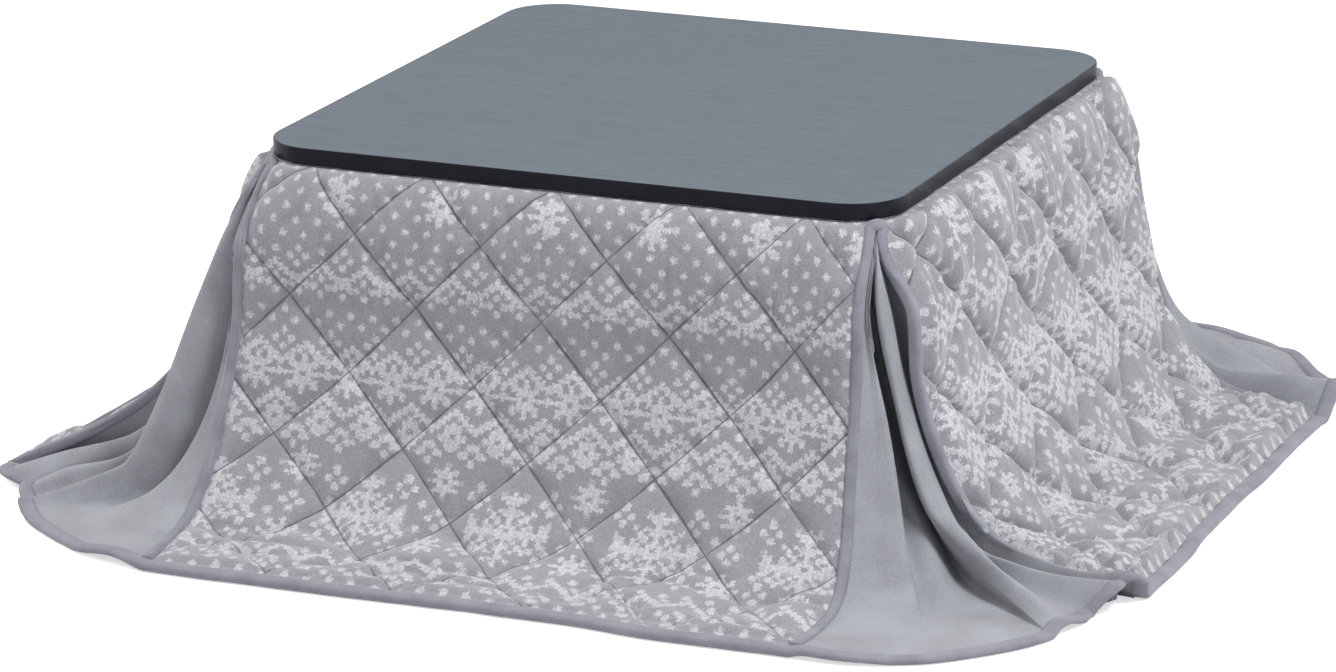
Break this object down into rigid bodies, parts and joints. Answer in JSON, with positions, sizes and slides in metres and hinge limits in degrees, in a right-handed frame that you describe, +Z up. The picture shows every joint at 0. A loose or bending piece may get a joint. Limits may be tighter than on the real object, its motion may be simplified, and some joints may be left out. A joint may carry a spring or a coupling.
{
  "type": "kotatsu table",
  "caption": "Low square heated table: loose woodgrain board over a quilted skirt, on a wooden frame with folding legs and an underslung electric heater.",
  "frame": {"origin": "on the floor, under the middle of the board", "axes": "+Z up, -Y the front of the table, +X to its right"},
  "size_m": [1.2166, 1.2175, 0.385],
  "materials": {
    "slate_laminate": "satin woodgrain print",
    "backing_laminate": "matt",
    "edge_band": "satin",
    "fibreboard": "sawn",
    "printed_plush": "short-pile plush with a knit-style print",
    "plain_fleece": "short-pile plain fleece",
    "binding_tape": "plain woven tape",
    "stained_wood": "dark stained and lacquered",
    "raw_wood": "planed, unfinished",
    "foot_plastic": "matt",
    "plated_steel": "zinc plated",
    "screw_steel": "zinc plated",
    "nylon": "matt",
    "case_enamel": "heat-resisting black enamel",
    "reflector_aluminium": "bright rolled",
    "quartz": "clear fused quartz",
    "heating_alloy": "drawn wire, oxidised",
    "porcelain": "unglazed",
    "bright_steel": "bright",
    "guard_chrome": "bright plated wire",
    "black_moulding": "moulded",
    "lead_sleeve": "glass-braid sleeve",
    "pin_brass": "turned"
  },
  "bodies": {
    "frame": {"corner_blocks": "raw_wood", "cross_bearer_left": "raw_wood", "cross_bearer_right": "raw_wood", "frame_rail_back": "stained_wood", "frame_rail_front": "stained_wood", "frame_rail_left": "stained_wood", "frame_rail_right": "stained_wood", "frame_screws": "screw_steel", "heater_bearer_back": "raw_wood", "heater_bearer_front": "raw_wood", "heater_case": "case_enamel", "heater_ceramics": "porcelain", "heater_coil": "heating_alloy", "heater_guard": "guard_chrome", "heater_inlet": "black_moulding", "heater_inlet_pins": "pin_brass", "heater_leads": "lead_sleeve", "heater_partition": "case_enamel", "heater_quartz_tube": "quartz", "heater_reflector": "reflector_aluminium", "heater_screws": "screw_steel", "heater_terminal_block": "black_moulding", "heater_thermal_fuse": "bright_steel", "heater_thermostat": "bright_steel", "heater_tube_supports": "bright_steel", "leg_bracket_back_left": "plated_steel", "leg_bracket_back_right": "plated_steel", "leg_bracket_front_left": "plated_steel", "leg_bracket_front_right": "plated_steel", "leg_bracket_screws": "screw_steel", "leg_pivot_pins": "screw_steel", "leg_washers": "nylon"},
    "futon": {"futon_corner_binding_back_left": "binding_tape", "futon_corner_binding_back_right": "binding_tape", "futon_corner_binding_front_left": "binding_tape", "futon_corner_binding_front_right": "binding_tape", "futon_gusset_back_left": "plain_fleece", "futon_gusset_back_right": "plain_fleece", "futon_gusset_front_left": "plain_fleece", "futon_gusset_front_right": "plain_fleece", "futon_hem_binding": "binding_tape", "futon_panel_back": "printed_plush", "futon_panel_front": "printed_plush", "futon_panel_left": "printed_plush", "futon_panel_right": "printed_plush", "futon_top_panel": "printed_plush"},
    "tabletop": {"tabletop_backing_sheet": "backing_laminate", "tabletop_board": "fibreboard", "tabletop_edge_band": "edge_band", "tabletop_surface_sheet": "slate_laminate"},
    "leg_front_right": {"leg_front_right": "stained_wood", "leg_foot_front_right": "foot_plastic"},
    "leg_back_right": {"leg_back_right": "stained_wood", "leg_foot_back_right": "foot_plastic"},
    "leg_back_left": {"leg_back_left": "stained_wood", "leg_foot_back_left": "foot_plastic"},
    "leg_front_left": {"leg_front_left": "stained_wood", "leg_foot_front_left": "foot_plastic"}
  },
  "joints": [
    {"name": "futon_lift", "type": "slide", "parent": "frame", "child": "futon", "axis": [0, 0, 1], "range_m": [0, 0.42]},
    {"name": "tabletop_lift", "type": "slide", "parent": "futon", "child": "tabletop", "axis": [0, 0, 1], "range_m": [0, 0.15]},
    {"name": "leg_fold_front_right", "type": "hinge", "parent": "frame", "child": "leg_front_right", "pos_m": [0.26698, -0.275, 0.3132], "axis": [0, 1, 0], "range_deg": [0, 90]},
    {"name": "leg_fold_back_right", "type": "hinge", "parent": "frame", "child": "leg_back_right", "pos_m": [0.275, 0.26698, 0.3132], "axis": [-1, 0, 0], "range_deg": [0, 90]},
    {"name": "leg_fold_back_left", "type": "hinge", "parent": "frame", "child": "leg_back_left", "pos_m": [-0.26698, 0.275, 0.3132], "axis": [0, -1, 0], "range_deg": [0, 90]},
    {"name": "leg_fold_front_left", "type": "hinge", "parent": "frame", "child": "leg_front_left", "pos_m": [-0.275, -0.26698, 0.3132], "axis": [1, 0, 0], "range_deg": [0, 90]}
  ]
}
